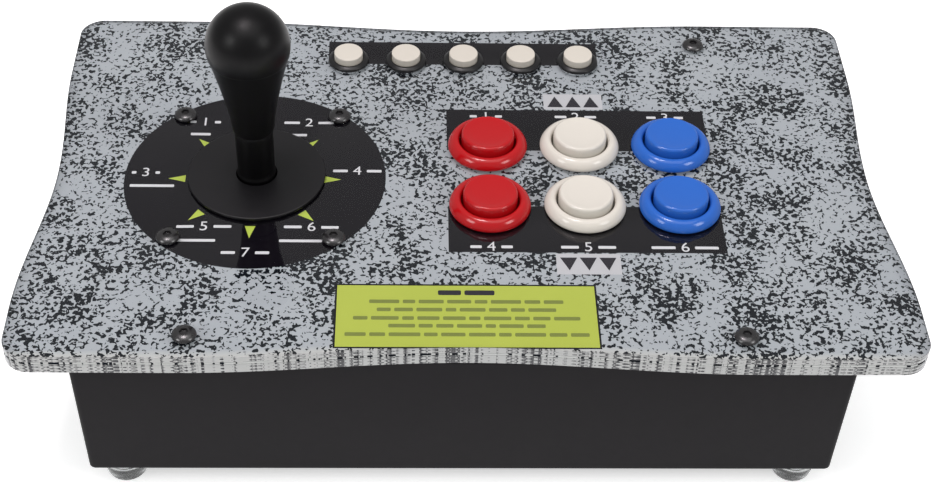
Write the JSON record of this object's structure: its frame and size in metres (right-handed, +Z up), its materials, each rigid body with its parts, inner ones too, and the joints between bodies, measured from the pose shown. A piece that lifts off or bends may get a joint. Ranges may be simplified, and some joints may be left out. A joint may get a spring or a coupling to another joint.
{
  "type": "arcade joystick panel",
  "caption": "Clear-topped control panel on a low black case, with a bat-top joystick, round push-buttons, small push-buttons and bumper feet.",
  "frame": {"origin": "on the table under the middle of the panel", "axes": "+X to the player's right, +Y away from the player, +Z up"},
  "size_m": [0.3486, 0.2078, 0.1658],
  "materials": {
    "clear_acrylic": "clear polished acrylic sheet",
    "clear_backing": "clear polished acrylic sheet, thicker",
    "printed_film": "printed film with a black fleck on grey",
    "case_coat": "satin black powder coat on folded steel",
    "clear_bumper": "clear soft bumper",
    "black_fastener": "black oxide steel",
    "zinc_steel": "zinc plated",
    "black_nylon": "moulded nylon",
    "switch_black": "moulded switch case",
    "pivot_nylon": "natural nylon",
    "bright_steel": "ground steel",
    "spring_steel": "spring wire",
    "grip_black": "fine moulded texture, satin",
    "sleeve_black": "moulded, satin",
    "washer_black": "moulded, satin",
    "slip_nylon": "thin nylon sheet",
    "actuator_plastic": "natural nylon",
    "button_red": "glossy moulding",
    "button_white": "glossy moulding",
    "button_blue": "glossy moulding",
    "bezel_black": "glossy moulding",
    "cap_cream": "satin moulding",
    "board_green": "solder mask",
    "socket_black": "moulded"
  },
  "bodies": {
    "base": {"cover_sheet": "clear_acrylic", "backing_sheet": "clear_backing", "artwork_sheet": "printed_film", "case_shell": "case_coat", "foot_front_left": "clear_bumper", "foot_front_right": "clear_bumper", "foot_rear_left": "clear_bumper", "foot_rear_right": "clear_bumper", "panel_screw_1": "black_fastener", "panel_screw_2": "black_fastener", "panel_screw_3": "black_fastener", "panel_screw_4": "black_fastener", "joystick_bolt_1": "black_fastener", "joystick_bolt_2": "black_fastener", "joystick_bolt_3": "black_fastener", "joystick_bolt_4": "black_fastener", "joystick_plate": "zinc_steel", "joystick_housing": "black_nylon", "joystick_switch_right": "switch_black", "joystick_switch_rear": "switch_black", "joystick_switch_left": "switch_black", "joystick_switch_front": "switch_black", "button_body_red_rear": "button_red", "button_switch_red_rear": "switch_black", "button_body_white_rear": "button_white", "button_switch_white_rear": "switch_black", "button_body_blue_rear": "button_blue", "button_switch_blue_rear": "switch_black", "button_body_red_front": "button_red", "button_switch_red_front": "switch_black", "button_body_white_front": "button_white", "button_switch_white_front": "switch_black", "button_body_blue_front": "button_blue", "button_switch_blue_front": "switch_black", "small_body_1": "bezel_black", "small_body_2": "bezel_black", "small_body_3": "bezel_black", "small_body_4": "bezel_black", "small_body_5": "bezel_black", "control_board": "board_green", "usb_socket": "socket_black"},
    "gimbal": {"pivot_ball": "pivot_nylon"},
    "stick": {"lever_shaft": "bright_steel", "shaft_sleeve": "sleeve_black", "bat_grip": "grip_black", "switch_actuator": "actuator_plastic", "return_spring": "spring_steel"},
    "slip_ring": {"slip_ring": "slip_nylon"},
    "dust_washer": {"dust_washer": "washer_black"},
    "plunger_red_rear": {"plunger_red_rear": "button_red"},
    "plunger_white_rear": {"plunger_white_rear": "button_white"},
    "plunger_blue_rear": {"plunger_blue_rear": "button_blue"},
    "plunger_red_front": {"plunger_red_front": "button_red"},
    "plunger_white_front": {"plunger_white_front": "button_white"},
    "plunger_blue_front": {"plunger_blue_front": "button_blue"},
    "small_cap_1": {"small_cap_1": "cap_cream"},
    "small_cap_2": {"small_cap_2": "cap_cream"},
    "small_cap_3": {"small_cap_3": "cap_cream"},
    "small_cap_4": {"small_cap_4": "cap_cream"},
    "small_cap_5": {"small_cap_5": "cap_cream"}
  },
  "joints": [
    {"name": "stick_side", "type": "hinge", "parent": "base", "child": "gimbal", "pos_m": [-0.0857, -0.0015, 0.066], "axis": [0, 1, 0], "range_deg": [-8, 8], "stiffness_Nm_per_rad": 2},
    {"name": "stick_fore_aft", "type": "hinge", "parent": "gimbal", "child": "stick", "pos_m": [-0.0857, -0.0015, 0.066], "axis": [-1, 0, 0], "range_deg": [-8, 8], "stiffness_Nm_per_rad": 2},
    {"name": "ring_slide_side", "type": "slide", "parent": "base", "child": "slip_ring", "axis": [1, 0, 0], "range_m": [-0.0025, 0.0025]},
    {"name": "washer_slide_fore_aft", "type": "slide", "parent": "slip_ring", "child": "dust_washer", "axis": [0, 1, 0], "range_m": [-0.0025, 0.0025]},
    {"name": "press_red_rear", "type": "slide", "parent": "base", "child": "plunger_red_rear", "axis": [0, 0, -1], "range_m": [0, 0.0035], "stiffness_N_per_m": 350, "springref_m": -0.003},
    {"name": "press_white_rear", "type": "slide", "parent": "base", "child": "plunger_white_rear", "axis": [0, 0, -1], "range_m": [0, 0.0035], "stiffness_N_per_m": 350, "springref_m": -0.003},
    {"name": "press_blue_rear", "type": "slide", "parent": "base", "child": "plunger_blue_rear", "axis": [0, 0, -1], "range_m": [0, 0.0035], "stiffness_N_per_m": 350, "springref_m": -0.003},
    {"name": "press_red_front", "type": "slide", "parent": "base", "child": "plunger_red_front", "axis": [0, 0, -1], "range_m": [0, 0.0035], "stiffness_N_per_m": 350, "springref_m": -0.003},
    {"name": "press_white_front", "type": "slide", "parent": "base", "child": "plunger_white_front", "axis": [0, 0, -1], "range_m": [0, 0.0035], "stiffness_N_per_m": 350, "springref_m": -0.003},
    {"name": "press_blue_front", "type": "slide", "parent": "base", "child": "plunger_blue_front", "axis": [0, 0, -1], "range_m": [0, 0.0035], "stiffness_N_per_m": 350, "springref_m": -0.003},
    {"name": "press_small_1", "type": "slide", "parent": "base", "child": "small_cap_1", "axis": [0, 0, -1], "range_m": [0, 0.002], "stiffness_N_per_m": 300, "springref_m": -0.002},
    {"name": "press_small_2", "type": "slide", "parent": "base", "child": "small_cap_2", "axis": [0, 0, -1], "range_m": [0, 0.002], "stiffness_N_per_m": 300, "springref_m": -0.002},
    {"name": "press_small_3", "type": "slide", "parent": "base", "child": "small_cap_3", "axis": [0, 0, -1], "range_m": [0, 0.002], "stiffness_N_per_m": 300, "springref_m": -0.002},
    {"name": "press_small_4", "type": "slide", "parent": "base", "child": "small_cap_4", "axis": [0, 0, -1], "range_m": [0, 0.002], "stiffness_N_per_m": 300, "springref_m": -0.002},
    {"name": "press_small_5", "type": "slide", "parent": "base", "child": "small_cap_5", "axis": [0, 0, -1], "range_m": [0, 0.002], "stiffness_N_per_m": 300, "springref_m": -0.002}
  ],
  "couplings": [
    {"joint": "ring_slide_side", "follows": "stick_side", "m_per_rad": 0.0179},
    {"joint": "washer_slide_fore_aft", "follows": "stick_fore_aft", "m_per_rad": 0.0179}
  ]
}
